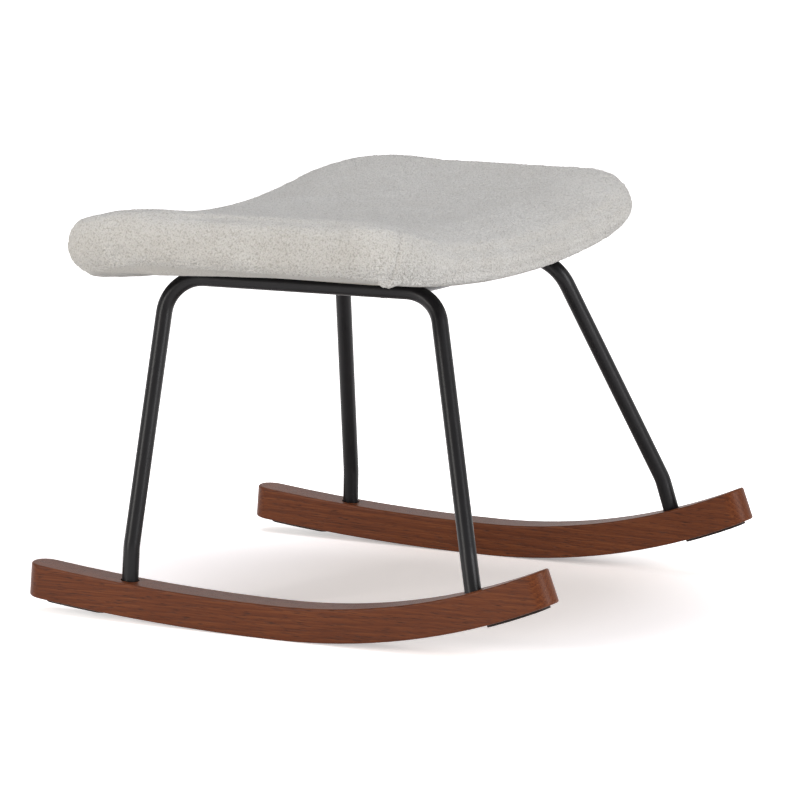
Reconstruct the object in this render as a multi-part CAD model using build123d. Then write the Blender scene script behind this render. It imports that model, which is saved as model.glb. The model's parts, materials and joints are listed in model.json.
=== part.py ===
from build123d import *
import os
from math import asin, cos, radians, sin, sqrt, tan

os.makedirs("parts", exist_ok=True)

# Rocking footstool, in millimetres.
# X runs along the rockers: the front of the stool is at -X, its rear at +X.
# Y runs across it: the left side is at -Y, the right side at +Y.  Z is up, and Z = 0 is the
# floor that the rockers stand on.  X = 0 lies midway between the ends of the rockers, and the
# stool is the same on both sides of the plane Y = 0.

# ---------------------------------------------------------------- driving dimensions
# Rockers: sawn from straight-grained ash, a slow curve in front of the low point and a quick one
# behind it.
ROCKER_SPACING = 456.0        # between the middles of the two rockers
ROCKER_WIDTH = 34.0
ROCKER_DEPTH = 33.0
ROCKER_FRONT_RADIUS = 2350.0  # of the underside, in front of the low point
ROCKER_REAR_RADIUS = 700.0    # of the underside, behind the low point
ROCKER_FRONT_REACH = 276.5    # from the low point to the front end
ROCKER_REAR_REACH = 287.0     # from the low point to the rear end
ROCKER_FRONT_LEAN = 4.5       # degrees that the front end is cut out of upright
ROCKER_REAR_LEAN = 20.5       # degrees that the rear end is cut out of upright
ROCKER_END_ROUND = 16.5       # plan radius of each end
ROCKER_EDGE_ROUND = 2.0       # along the long edges

# Feet strips: felt stops under both ends of each rocker.
STRIP_WIDTH = 24.0
STRIP_THICKNESS = 2.2
FRONT_STRIP_LENGTH = 66.0
REAR_STRIP_LENGTH = 59.0
FRONT_STRIP_SETBACK = 20.0    # from the front end of the rocker
REAR_STRIP_SETBACK = 10.0     # from the rear end of the rocker
STRIP_END_ROUND = 8.0

# Steel tube of the frame.
TUBE_DIAMETER = 16.0
TUBE_WALL = 1.5
CORNER_BEND_RADIUS = 38.0     # centre line, where a leg turns into the seat rail
ANKLE_BEND_RADIUS = 45.0      # centre line, where a leg turns into its rocker
ANKLE_HEIGHT = 33.0           # from the top of the rocker to the ankle bend
FRONT_FOOT_X = -172.0         # where the legs enter the top of the rockers
REAR_FOOT_X = 194.5
FRONT_FOOT_INSET = 0.0        # of that place, in from the middle of the rocker
REAR_FOOT_INSET = 2.0
FRONT_FOOT_RAKE = -2.0        # degrees that the end of a leg leans to the front, going up
REAR_FOOT_RAKE = 13.5
FRONT_FOOT_SPLAY = 2.5        # degrees that it leans to the middle of the stool, going up
REAR_FOOT_SPLAY = 9.5
FRONT_CORNER_X = -156.5       # where legs and seat rail would meet if they were not bent
REAR_CORNER_X = 107.5
FRONT_CORNER_SPREAD = 352.0   # between left and right seat rails at the front corners
REAR_CORNER_SPREAD = 261.0    # and at the rear corners
FRONT_CROSS_X = -130.5        # cross tubes between the two seat rails
REAR_CROSS_X = 56.5

# Joint between a leg and its rocker.
SOCKET_DEPTH = 15.0
SOCKET_CLEARANCE = 1.2        # round the tube
PLUG_LENGTH = 18.0
PLUG_CLEARANCE = 0.05
SCREW_DIAMETER = 6.0
SCREW_CLEARANCE = 0.3         # round the shank, in wood and plate
SCREW_HEAD_DIAMETER = 10.0
SCREW_HEAD_HEIGHT = 6.0
SCREW_HEAD_ROUND = 0.6
HEX_KEY = 5.0                 # across flats
HEX_DEPTH = 3.0
THREAD_CLEARANCE = 0.05
WASHER_DIAMETER = 12.0
WASHER_THICKNESS = 1.2
COUNTERBORE_DIAMETER = 13.5
COUNTERBORE_DEPTH = 8.0
LEG_SCREW_LENGTH = 26.0

# Seat: a moulded board, a foam pad over it and a looped-pile cover pulled round both.
SEAT_FRONT_X = -234.0
SEAT_REAR_X = 153.0
SEAT_FRONT_WIDTH = 577.0      # across, along the front edge, before the corners are rounded
SEAT_REAR_WIDTH = 532.0       # across, along the rear edge
SEAT_CORNER_RADIUS = 67.0
SEAT_THICKNESS = 56.4
SEAT_RIM_RADIUS = 26.8        # of the padded edge, above and below
SEAT_DISH_RADIUS = 1520.0     # the seat rises towards both sides on this radius
SEAT_DISH_ANGLE = 30.0        # degrees of that curve, more than the seat takes up
SEAT_UNDERSIDE_Z = 325.2      # lowest line of the padded seat
FRONT_FALL_RADIUS = 260.0     # the front edge curves down on this radius
FRONT_FALL_X = -122.0         # where that curve begins
REAR_FALL = 1.7               # of the top, from there to the rear edge
SEAT_MARGIN = 20.0            # of the sheets that are trimmed to the outline of the seat
COVER_THICKNESS = 2.5
SOFT_CLEARANCE = 0.3          # between cover, foam and board
HEM_WIDTH = 42.0              # of the cover under the board
BOARD_THICKNESS = 12.0
BOARD_SETBACK = 27.0          # of the board inside the outline of the seat
FRONT_SETBACK = 14.0          # added to it, to the hem and to the lining along the front edge
LINING_THICKNESS = 0.6
LINING_GAP = 0.3              # under the board
LINING_CLEARANCE = 1.0        # between the lining and the hem
SEAT_GAP = 0.4                # between the frame and the lining

# Seat fixings.
TAB_LENGTH = 30.0
TAB_REACH = 27.0              # from the middle of the rail to the inner edge of the tab
TAB_START = 5.5               # from the middle of the rail to the outer edge of the tab
TAB_THICKNESS = 3.0
TAB_CORNER_RADIUS = 3.0
TAB_HOLE_OFFSET = 17.0        # from the middle of the rail to the screw
FRONT_TAB_X = -76.5
REAR_TAB_X = 20.5
SEAT_SCREW_LENGTH = 16.0
TEE_FLANGE_DIAMETER = 18.0
TEE_FLANGE_THICKNESS = 1.4
TEE_BARREL_DIAMETER = 8.0
TEE_BARREL_LENGTH = 9.0
TEE_CLEARANCE = 0.1           # under the flange and round the barrel
TEE_HEADROOM = 1.2            # in the foam, over the flange

# ---------------------------------------------------------------- derived values
ROCKER_Y = ROCKER_SPACING / 2
ROCKER_LOW_X = (ROCKER_FRONT_REACH - ROCKER_REAR_REACH) / 2
TUBE_RADIUS = TUBE_DIAMETER / 2
BORE_RADIUS = TUBE_RADIUS - TUBE_WALL
SEAT_MID_X = (SEAT_FRONT_X + SEAT_REAR_X) / 2
SEAT_LENGTH = SEAT_REAR_X - SEAT_FRONT_X
SEAT_HALF_WIDTH = (SEAT_FRONT_WIDTH + SEAT_REAR_WIDTH) / 4
SEAT_TAPER = (SEAT_REAR_WIDTH - SEAT_FRONT_WIDTH) / 2 / SEAT_LENGTH
DISH_AXIS_Z = SEAT_UNDERSIDE_Z + SEAT_DISH_RADIUS
BOARD_LIFT = COVER_THICKNESS + SOFT_CLEARANCE
LINING_LIFT = BOARD_LIFT - LINING_GAP - LINING_THICKNESS
FRAME_TOP_LIFT = LINING_LIFT - SEAT_GAP
RAIL_LIFT = FRAME_TOP_LIFT - TUBE_RADIUS
CUTTER = 400.0                # longer than anything it cuts through
SAME_LENGTH = 0.05            # that two edges of one length may differ by
LEVEL_EDGE = 0.6              # steepest rise, for its length, of an edge of a rocker's top or underside
UPRIGHT_FACE = 0.1            # most that the normal of a side wall rises
RIM_EDGE = 0.8                # steepest rise of an edge along the rim of the seat


# ---------------------------------------------------------------- shared geometry
def foot_frame(x, inset, rake, splay):
    """Plane on top of the left rocker where a leg enters it, with Z up along the leg."""
    radius = ROCKER_FRONT_RADIUS if x < ROCKER_LOW_X else ROCKER_REAR_RADIUS
    slope = asin((x - ROCKER_LOW_X) / (radius - ROCKER_DEPTH))
    top = radius - (radius - ROCKER_DEPTH) * cos(slope)
    lean, tilt = tan(radians(rake)), tan(radians(splay))
    return Plane(origin=(x, inset - ROCKER_Y, top), x_dir=(1, 0, lean), z_dir=(-lean, tilt, 1))


def rocker_point(reach, lift):
    """Point (x, z) at a distance from the low point and a height above the underside."""
    radius = ROCKER_FRONT_RADIUS if reach < 0 else ROCKER_REAR_RADIUS
    slope = asin(reach / radius)
    return (ROCKER_LOW_X + (radius - lift) * sin(slope), radius - (radius - lift) * cos(slope))


def end_cut(reach, lean):
    """Low and high point (x, z) of the cut at one end of a rocker, which leans inward going up."""
    radius = ROCKER_FRONT_RADIUS if reach < 0 else ROCKER_REAR_RADIUS
    x, z = rocker_point(reach, 0)
    skew = asin(abs(reach) / radius) - radians(lean)
    length = radius * cos(skew) - sqrt((radius - ROCKER_DEPTH) ** 2 - (radius * sin(skew)) ** 2)
    inward = length * sin(radians(lean))
    high_x = x + inward if reach < 0 else x - inward
    return (x, z), (high_x, z + length * cos(radians(lean)))


def dish(y):
    """Rise of the seat's underside at a distance from the middle plane."""
    return SEAT_DISH_RADIUS - sqrt(SEAT_DISH_RADIUS**2 - y**2)


def underside(y, lift):
    """Height of a surface that runs parallel to the seat's underside, behind its front edge."""
    return SEAT_UNDERSIDE_Z + lift + dish(y)


def both_sides(shape):
    """A piece of the left side and its mirror image on the right."""
    return [shape, mirror(shape, about=Plane.XZ)]


def write(name, *solids):
    """One node: a single solid, or a group of separate ones."""
    shape = solids[0] if len(solids) == 1 else Compound(children=list(solids))
    export_step(shape, f"parts/{name}.step")
    print(f"{name}: {len(solids)} solid(s), volume {sum(s.volume for s in solids):.0f} mm3")


def ring(plane, outer_radius, inner_radius, height):
    """A short tube that stands on a plane."""
    outer = plane * extrude(Circle(outer_radius), amount=height)
    inner = plane * extrude(Circle(inner_radius), amount=height)
    return outer - inner


def cap_screw(plane, length):
    """Socket cap screw: the plane lies under its head, with Z towards the tip."""
    shank = plane * extrude(Circle(SCREW_DIAMETER / 2), amount=length)
    head = plane * extrude(Circle(SCREW_HEAD_DIAMETER / 2), amount=-SCREW_HEAD_HEIGHT)
    head_face = plane.offset(-SCREW_HEAD_HEIGHT)
    key_hole = head_face * extrude(RegularPolygon(HEX_KEY / 2, 6, major_radius=False), amount=HEX_DEPTH)
    head_rim = head.edges().group_by(lambda e: head_face.to_local_coords(e.center()).Z)[0]
    return fillet(head_rim, SCREW_HEAD_ROUND) + shank - key_hole


# ---------------------------------------------------------------- rockers
FRONT_FOOT = foot_frame(FRONT_FOOT_X, FRONT_FOOT_INSET, FRONT_FOOT_RAKE, FRONT_FOOT_SPLAY)
REAR_FOOT = foot_frame(REAR_FOOT_X, REAR_FOOT_INSET, REAR_FOOT_RAKE, REAR_FOOT_SPLAY)


def rocker_blank():
    """The curved bar, before its long edges are eased and it is drilled."""
    front_low, front_top = end_cut(-ROCKER_FRONT_REACH, ROCKER_FRONT_LEAN)
    rear_low, rear_top = end_cut(ROCKER_REAR_REACH, ROCKER_REAR_LEAN)
    low, low_top = (ROCKER_LOW_X, 0), (ROCKER_LOW_X, ROCKER_DEPTH)
    underside_front = ThreePointArc(front_low, rocker_point(-ROCKER_FRONT_REACH / 2, 0), low)
    underside_rear = ThreePointArc(low, rocker_point(ROCKER_REAR_REACH / 2, 0), rear_low)
    top_rear = ThreePointArc(rear_top, rocker_point(ROCKER_REAR_REACH / 2, ROCKER_DEPTH), low_top)
    top_front = ThreePointArc(low_top, rocker_point(-ROCKER_FRONT_REACH / 2, ROCKER_DEPTH), front_top)
    outline = underside_front + underside_rear + Line(rear_low, rear_top)
    outline += top_rear + top_front + Line(front_top, front_low)
    profile = Plane.XZ * make_face(outline)
    bar = extrude(profile, amount=ROCKER_WIDTH / 2, both=True)
    bar = Pos(0, -ROCKER_Y, 0) * bar
    ends = bar.edges().filter_by(GeomType.LINE).filter_by(lambda e: abs(e.tangent_at(0.5).Z) > LEVEL_EDGE)
    return fillet(ends, ROCKER_END_ROUND)


def rocker():
    """One rocker, with a socket for each leg and a counterbored hole under it."""
    bar = rocker_blank()
    long_edges = bar.edges().filter_by(lambda e: abs(e.tangent_at(0.5).Z) < LEVEL_EDGE)
    bar = fillet(long_edges, ROCKER_EDGE_ROUND)
    for foot in (FRONT_FOOT, REAR_FOOT):
        bar -= foot.offset(-SOCKET_DEPTH) * extrude(Circle(TUBE_RADIUS + SOCKET_CLEARANCE), amount=CUTTER)
        bar -= foot * extrude(Circle(SCREW_DIAMETER / 2 + SCREW_CLEARANCE), amount=-CUTTER)
        washer_seat = foot.offset(COUNTERBORE_DEPTH - ROCKER_DEPTH)
        bar -= washer_seat * extrude(Circle(COUNTERBORE_DIAMETER / 2), amount=-CUTTER)
    return bar


def stop_strip(reach_from, reach_to):
    """Felt strip that follows the underside of the left rocker between two distances."""
    middle = (reach_from + reach_to) / 2
    low_side = [rocker_point(r, -STRIP_THICKNESS) for r in (reach_from, middle, reach_to)]
    top_side = [rocker_point(r, 0) for r in (reach_to, middle, reach_from)]
    outline = ThreePointArc(*low_side) + Line(low_side[2], top_side[0])
    outline += ThreePointArc(*top_side) + Line(top_side[2], low_side[0])
    strip = extrude(Plane.XZ * make_face(outline), amount=STRIP_WIDTH / 2, both=True)
    strip = Pos(0, -ROCKER_Y, 0) * strip
    ends = strip.edges().filter_by(lambda e: abs(e.length - STRIP_THICKNESS) < SAME_LENGTH)
    return fillet(ends, STRIP_END_ROUND)


# ---------------------------------------------------------------- frame
def rail_corner(x, spread):
    """Where the centre lines of a leg and of the left seat rail would cross."""
    y = -spread / 2
    return (x, y, underside(y, RAIL_LIFT))


FRONT_CORNER = rail_corner(FRONT_CORNER_X, FRONT_CORNER_SPREAD)
REAR_CORNER = rail_corner(REAR_CORNER_X, REAR_CORNER_SPREAD)


def rail_y(x):
    """Y of the left seat rail's centre line."""
    share = (x - FRONT_CORNER_X) / (REAR_CORNER_X - FRONT_CORNER_X)
    return FRONT_CORNER[1] + share * (REAR_CORNER[1] - FRONT_CORNER[1])


def side_frame_path():
    """Centre line of the left side frame: foot, ankle, corner, rail, corner, ankle, foot."""
    points = [
        FRONT_FOOT.offset(-SOCKET_DEPTH).origin,
        FRONT_FOOT.offset(ANKLE_HEIGHT).origin,
        Vector(*FRONT_CORNER),
        Vector(*REAR_CORNER),
        REAR_FOOT.offset(ANKLE_HEIGHT).origin,
        REAR_FOOT.offset(-SOCKET_DEPTH).origin,
    ]
    radii = [ANKLE_BEND_RADIUS, CORNER_BEND_RADIUS, CORNER_BEND_RADIUS, ANKLE_BEND_RADIUS]
    return bent_line(points, radii)


def bent_line(points, radii):
    """Straight runs joined by tangent arcs, one for each inner point."""
    edges = []
    start = points[0]
    for i, radius in enumerate(radii, start=1):
        before = (points[i - 1] - points[i]).normalized()
        after = (points[i + 1] - points[i]).normalized()
        half_angle = radians(before.get_angle(after)) / 2
        setback = radius * cos(half_angle) / sin(half_angle)
        bend_in = points[i] + before * setback
        bend_out = points[i] + after * setback
        inward = (before + after).normalized()
        middle = points[i] + inward * (radius / sin(half_angle) - radius)
        edges.append(Edge.make_line(start, bend_in))
        edges.append(Edge.make_three_point_arc(bend_in, middle, bend_out))
        start = bend_out
    edges.append(Edge.make_line(start, points[-1]))
    return Wire(edges)


def tube(path, radius):
    """Round bar of a radius along a path."""
    section = Plane(origin=path @ 0, z_dir=path % 0) * Circle(radius)
    return sweep(section, path=path)


def cross_tube_blank(x, radius):
    """Bar that follows the dish of the seat from rail to rail."""
    end_y = rail_y(x)
    end_z = underside(end_y, RAIL_LIFT)
    middle_z = underside(0, RAIL_LIFT)
    path = Wire([Edge.make_three_point_arc((x, end_y, end_z), (x, 0, middle_z), (x, -end_y, end_z))])
    return tube(path, radius)


def tab_plane(x):
    """Top face of a seat tab on the left rail: X along the rail, Y towards the middle."""
    rail = Vector(REAR_CORNER_X - FRONT_CORNER_X, REAR_CORNER[1] - FRONT_CORNER[1],
                  REAR_CORNER[2] - FRONT_CORNER[2]).normalized()
    y = rail_y(x) + TAB_HOLE_OFFSET
    up = Vector(0, -y / SEAT_DISH_RADIUS, sqrt(1 - (y / SEAT_DISH_RADIUS) ** 2))
    inward = up.cross(rail).normalized()
    along = inward.cross(up).normalized()
    return Plane(origin=(x, y, underside(y, FRAME_TOP_LIFT)), x_dir=along, z_dir=up)


def seat_tab(x, rail_bar):
    """Drilled plate welded to the inner side of the rail, coped to fit it."""
    width = TAB_REACH - TAB_START
    middle = (TAB_REACH + TAB_START) / 2 - TAB_HOLE_OFFSET
    outline = Pos(0, middle) * RectangleRounded(TAB_LENGTH, width, TAB_CORNER_RADIUS)
    plate = tab_plane(x) * extrude(outline, amount=-TAB_THICKNESS)
    hole = tab_plane(x) * extrude(Circle(SCREW_DIAMETER / 2 + SCREW_CLEARANCE), amount=-TAB_THICKNESS)
    plate = plate - hole - rail_bar
    return plate.solids().sort_by(SortBy.VOLUME)[-1]


# ---------------------------------------------------------------- seat
def half_width(x, inset):
    """Half of the seat's width at x, inside its outline by an inset."""
    return SEAT_HALF_WIDTH + SEAT_TAPER * (x - SEAT_MID_X) - inset


def plan_outline(inset, front_setback=0.0):
    """The seat's outline from above, a tapered rectangle with rounded corners."""
    front, rear = SEAT_FRONT_X + inset + front_setback, SEAT_REAR_X - inset
    corners = [
        (front, -half_width(front, inset)),
        (rear, -half_width(rear, inset)),
        (rear, half_width(rear, inset)),
        (front, half_width(front, inset)),
    ]
    outline = make_face(Polyline(*corners, close=True))
    return fillet(outline.vertices(), SEAT_CORNER_RADIUS - inset)


def fall_point(x, lift):
    """Point (x, z) on a line parallel to the seat's underside section, lifted square to it."""
    if x > FRONT_FALL_X:
        return (x, lift)
    slope = asin((FRONT_FALL_X - x) / FRONT_FALL_RADIUS)
    radius = FRONT_FALL_RADIUS + lift
    return (FRONT_FALL_X - radius * sin(slope), radius * cos(slope) - FRONT_FALL_RADIUS)


def dished_sheet(low, high, outline_face, rear_fall=0.0):
    """Sheet between two lifts above the seat's underside, cut to an outline."""
    front, rear = SEAT_FRONT_X - SEAT_MARGIN, SEAT_REAR_X + SEAT_MARGIN
    middle = (front + FRONT_FALL_X) / 2
    outline = Line((FRONT_FALL_X, low), (rear, low)) + Line((rear, low), (rear, high - rear_fall))
    if rear_fall:
        outline += TangentArc((FRONT_FALL_X, high), (rear, high - rear_fall), tangent=(1, 0))
    else:
        outline += Line((rear, high), (FRONT_FALL_X, high))
    outline += ThreePointArc((FRONT_FALL_X, high), fall_point(middle, high), fall_point(front, high))
    outline += Line(fall_point(front, high), fall_point(front, low))
    outline += ThreePointArc(fall_point(front, low), fall_point(middle, low), (FRONT_FALL_X, low))
    section = Pos(0, 0, SEAT_UNDERSIDE_Z) * (Plane.XZ * make_face(outline))
    axis = Axis((0, 0, DISH_AXIS_Z), (1, 0, 0))
    section = section.rotate(axis, -SEAT_DISH_ANGLE / 2)
    sheet = revolve(section, axis=axis, revolution_arc=SEAT_DISH_ANGLE)
    return sheet & extrude(outline_face, amount=2 * CUTTER)


def padding(inset):
    """The padded seat, or a copy of it inside, with its whole rim rounded over."""
    sheet = dished_sheet(inset, SEAT_THICKNESS - inset, plan_outline(inset), REAR_FALL)
    walls = sheet.faces().filter_by(lambda f: abs(f.normal_at().Z) < UPRIGHT_FACE)
    rim = walls.edges().filter_by(lambda e: abs(e.tangent_at(0.5).Z) < RIM_EDGE)
    return fillet(rim, SEAT_RIM_RADIUS - inset)


# ---------------------------------------------------------------- build: rockers
for name, solid in zip(("rocker_left", "rocker_right"), both_sides(rocker())):
    write(name, solid)

front_strip = stop_strip(FRONT_STRIP_SETBACK - ROCKER_FRONT_REACH,
                         FRONT_STRIP_SETBACK + FRONT_STRIP_LENGTH - ROCKER_FRONT_REACH)
rear_strip = stop_strip(ROCKER_REAR_REACH - REAR_STRIP_SETBACK - REAR_STRIP_LENGTH,
                        ROCKER_REAR_REACH - REAR_STRIP_SETBACK)
for place_name, strip in (("front", front_strip), ("rear", rear_strip)):
    for side_name, solid in zip(("left", "right"), both_sides(strip)):
        write(f"felt_strip_{place_name}_{side_name}", solid)

# ---------------------------------------------------------------- build: frame
frame_path = side_frame_path()
rail_bar = tube(frame_path, TUBE_RADIUS)
side_frame = rail_bar - tube(frame_path, BORE_RADIUS)
for name, solid in zip(("side_frame_left", "side_frame_right"), both_sides(side_frame)):
    write(name, solid)

for name, x in (("front_cross_tube", FRONT_CROSS_X), ("rear_cross_tube", REAR_CROSS_X)):
    cross = cross_tube_blank(x, TUBE_RADIUS) - cross_tube_blank(x, BORE_RADIUS)
    for bar in both_sides(rail_bar):
        cross -= bar
    write(name, cross.solids().sort_by(SortBy.VOLUME)[-1])

for place_name, x in (("front", FRONT_TAB_X), ("rear", REAR_TAB_X)):
    for side_name, solid in zip(("left", "right"), both_sides(seat_tab(x, rail_bar))):
        write(f"seat_tab_{place_name}_{side_name}", solid)

# ---------------------------------------------------------------- build: leg joints
plugs, leg_screws, leg_washers = [], [], []
for foot in (FRONT_FOOT, REAR_FOOT):
    plugs += both_sides(ring(foot.offset(-SOCKET_DEPTH), BORE_RADIUS - PLUG_CLEARANCE,
                             SCREW_DIAMETER / 2 + THREAD_CLEARANCE, PLUG_LENGTH))
    washer_under = foot.offset(COUNTERBORE_DEPTH - ROCKER_DEPTH - WASHER_THICKNESS)
    leg_washers += both_sides(ring(washer_under, WASHER_DIAMETER / 2,
                                   SCREW_DIAMETER / 2 + SCREW_CLEARANCE, WASHER_THICKNESS))
    leg_screws += both_sides(cap_screw(washer_under, LEG_SCREW_LENGTH))
write("leg_plugs", *plugs)
write("leg_screws", *leg_screws)
write("leg_washers", *leg_washers)

# ---------------------------------------------------------------- build: seat
board = dished_sheet(BOARD_LIFT, BOARD_LIFT + BOARD_THICKNESS, plan_outline(BOARD_SETBACK, FRONT_SETBACK))
pocket = dished_sheet(-SEAT_MARGIN, BOARD_LIFT + BOARD_THICKNESS + SOFT_CLEARANCE,
                      plan_outline(BOARD_SETBACK - SOFT_CLEARANCE, FRONT_SETBACK))
lining = dished_sheet(LINING_LIFT, LINING_LIFT + LINING_THICKNESS,
                      plan_outline(HEM_WIDTH + LINING_CLEARANCE, FRONT_SETBACK))
foam = padding(COVER_THICKNESS + SOFT_CLEARANCE) - pocket

tees, seat_screws, seat_washers = [], [], []
for x in (FRONT_TAB_X, REAR_TAB_X):
    tab_top = tab_plane(x)
    tab_under = tab_top.offset(-TAB_THICKNESS)
    board_top = tab_top.offset(BOARD_LIFT - FRAME_TOP_LIFT + BOARD_THICKNESS + TEE_CLEARANCE)
    barrel = ring(board_top.offset(-TEE_BARREL_LENGTH), TEE_BARREL_DIAMETER / 2,
                  SCREW_DIAMETER / 2 + THREAD_CLEARANCE, TEE_BARREL_LENGTH)
    flange = ring(board_top, TEE_FLANGE_DIAMETER / 2, SCREW_DIAMETER / 2 + THREAD_CLEARANCE,
                  TEE_FLANGE_THICKNESS)
    tees += both_sides(barrel + flange)
    washer = ring(tab_under.offset(-WASHER_THICKNESS), WASHER_DIAMETER / 2,
                  SCREW_DIAMETER / 2 + SCREW_CLEARANCE, WASHER_THICKNESS)
    seat_washers += both_sides(washer)
    seat_screws += both_sides(cap_screw(tab_under.offset(-WASHER_THICKNESS), SEAT_SCREW_LENGTH))
    drill = tab_under * extrude(Circle(TEE_BARREL_DIAMETER / 2 + TEE_CLEARANCE), amount=SEAT_MARGIN)
    screw_drill = tab_under * extrude(Circle(SCREW_DIAMETER / 2 + SCREW_CLEARANCE), amount=SEAT_MARGIN)
    flange_room = board_top * extrude(Circle(TEE_FLANGE_DIAMETER / 2 + SOFT_CLEARANCE),
                                      amount=TEE_FLANGE_THICKNESS + TEE_HEADROOM)
    for hole in both_sides(drill):
        board -= hole
    for hole in both_sides(screw_drill):
        lining -= hole
    for hole in both_sides(flange_room):
        foam -= hole
write("seat_board", board)
write("underside_lining", lining)
write("seat_foam", foam)
write("tee_nuts", *tees)
write("seat_screws", *seat_screws)
write("seat_washers", *seat_washers)

cover = padding(0.0) - padding(COVER_THICKNESS)
opening = extrude(plan_outline(HEM_WIDTH, FRONT_SETBACK), amount=SEAT_UNDERSIDE_Z + SEAT_THICKNESS / 2)
cover -= opening
write("seat_cover", cover)
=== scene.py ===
import bpy
import json
import numpy as np
from math import atan2, cos, hypot, pi, radians, sin, sqrt
from mathutils import Matrix, Vector

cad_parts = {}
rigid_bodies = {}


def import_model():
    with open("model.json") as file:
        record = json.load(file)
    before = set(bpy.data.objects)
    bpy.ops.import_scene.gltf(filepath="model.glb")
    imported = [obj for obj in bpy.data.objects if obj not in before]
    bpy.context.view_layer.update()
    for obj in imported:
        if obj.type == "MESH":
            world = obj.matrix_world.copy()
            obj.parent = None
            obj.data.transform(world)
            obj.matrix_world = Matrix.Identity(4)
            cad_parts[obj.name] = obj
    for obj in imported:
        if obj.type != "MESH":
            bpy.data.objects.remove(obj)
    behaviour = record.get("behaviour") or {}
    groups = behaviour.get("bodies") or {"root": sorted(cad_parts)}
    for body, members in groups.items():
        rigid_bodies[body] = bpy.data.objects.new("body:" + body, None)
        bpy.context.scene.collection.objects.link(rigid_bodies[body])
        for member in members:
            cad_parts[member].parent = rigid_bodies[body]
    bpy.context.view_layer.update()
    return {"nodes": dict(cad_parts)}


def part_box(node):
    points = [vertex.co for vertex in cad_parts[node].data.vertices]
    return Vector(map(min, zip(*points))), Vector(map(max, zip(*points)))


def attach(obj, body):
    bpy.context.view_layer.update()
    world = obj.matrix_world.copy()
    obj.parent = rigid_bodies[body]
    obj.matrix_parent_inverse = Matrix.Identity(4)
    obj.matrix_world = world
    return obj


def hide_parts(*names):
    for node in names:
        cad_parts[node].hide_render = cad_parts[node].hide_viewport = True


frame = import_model()

# ---------------------------------------------------------------- rockers
# The two rockers are sawn from straight-grained ash, so the grain runs level while the bar curves.
# They are stained a reddish walnut brown and sealed with a thin satin lacquer, with eased edges.


def colour(code):
    """An sRGB hex colour as linear RGBA."""
    parts = [int(code[i:i + 2], 16) / 255 for i in (1, 3, 5)]
    return [p / 12.92 if p <= 0.04045 else ((p + 0.055) / 1.055) ** 2.4 for p in parts] + [1.0]


def node(tree, kind, inputs=None, **settings):
    """Adds a shader node with its settings, a ramp's colour stops, and values or links on its inputs."""
    made = tree.nodes.new("ShaderNode" + kind)
    for key, value in settings.items():
        if key == "stops":
            band = made.color_ramp.elements
            while len(band) < len(value):
                band.new(0.5)
            for element, (position, code) in zip(band, value):
                element.position = position
                element.color = colour(code)
        else:
            setattr(made, key, value)
    for key, value in (inputs or {}).items():
        if isinstance(value, bpy.types.NodeSocket):
            tree.links.new(value, made.inputs[key])
        else:
            made.inputs[key].default_value = value
    return made


def new_material(name, values, roughness):
    """A material with one principled shader, and its node tree."""
    made = bpy.data.materials.new(name)
    made.use_nodes = True
    shader = made.node_tree.nodes["Principled BSDF"]
    shader.inputs["Roughness"].default_value = roughness
    for key, value in values.items():
        shader.inputs[key].default_value = value
    return made, made.node_tree, shader


def dress(material, *names):
    """Puts a material on the slots of CAD nodes."""
    for name in names:
        for place in frame["nodes"][name].material_slots:
            place.material = material


RING_SPACING = 0.0034         # of the growth rings across the bar
STREAK_LENGTH = 0.110         # of the darker and lighter streaks
STREAK_WIDTH = 0.0014
PORE_LENGTH = 0.0080          # of the open pores of ash
PORE_WIDTH = 0.00042
PITH = (0.0, 0.06, 0.085)     # place of the bar in the tree, from the middle of the rings
PITH_LEAN = (0.0, 0.02, 0.03)  # of the rings' axis against the bar, in radians
WANDER = 0.007                # that the grain strays from straight
WAVE_RING = 0.314             # ring spacing of Blender's wave texture at scale 1
STREAK_SHARE, RING_SHARE, BLOTCH_SHARE = 0.75, 0.16, 0.22  # of the stain's tone

# Stained ash, planed and lacquered: dark open pores in fine dashes, rings in low contrast, soft gloss.
ash, tree, shader = new_material("stained_ash", {"Specular IOR Level": 0.14}, 0.40)
place = node(tree, "TexCoord").outputs["Object"]
wander_space = node(tree, "Mapping", {"Vector": place, "Scale": (3.1, 9.0, 9.0)}).outputs["Vector"]
wander = node(tree, "TexNoise", {"Vector": wander_space, "Scale": 1.0, "Detail": 2.0})
shifted = node(tree, "VectorMath", {0: wander.outputs["Color"], 1: (0.5, 0.5, 0.5)}, operation="SUBTRACT")
shifted = node(tree, "VectorMath", {0: shifted.outputs["Vector"], "Scale": WANDER}, operation="SCALE")
warped = node(tree, "VectorMath", {0: place, 1: shifted.outputs["Vector"]}, operation="ADD").outputs["Vector"]
pith = node(tree, "Mapping", {"Vector": warped, "Location": PITH, "Rotation": PITH_LEAN})
rings = node(tree, "TexWave", {"Vector": pith.outputs["Vector"], "Scale": WAVE_RING / RING_SPACING,
                               "Distortion": 1.2, "Detail": 2.0, "Detail Scale": 0.4},
             wave_type="RINGS", rings_direction="X", wave_profile="SAW")
streak_space = node(tree, "Mapping", {
    "Vector": warped, "Scale": (1 / STREAK_LENGTH, 1 / STREAK_WIDTH, 1 / STREAK_WIDTH)}).outputs["Vector"]
streaks = node(tree, "TexNoise", {"Vector": streak_space, "Scale": 1.0, "Detail": 4.0, "Roughness": 0.6})
pore_space = node(tree, "Mapping", {
    "Vector": warped, "Scale": (1 / PORE_LENGTH, 1 / PORE_WIDTH, 1 / PORE_WIDTH)}).outputs["Vector"]
pores = node(tree, "TexNoise", {"Vector": pore_space, "Scale": 0.6, "Detail": 1.0})
pore_depth = node(tree, "MapRange", {"Value": pores.outputs["Fac"], "From Min": 0.58, "From Max": 0.70})
pore_depth = pore_depth.outputs["Result"]
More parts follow.
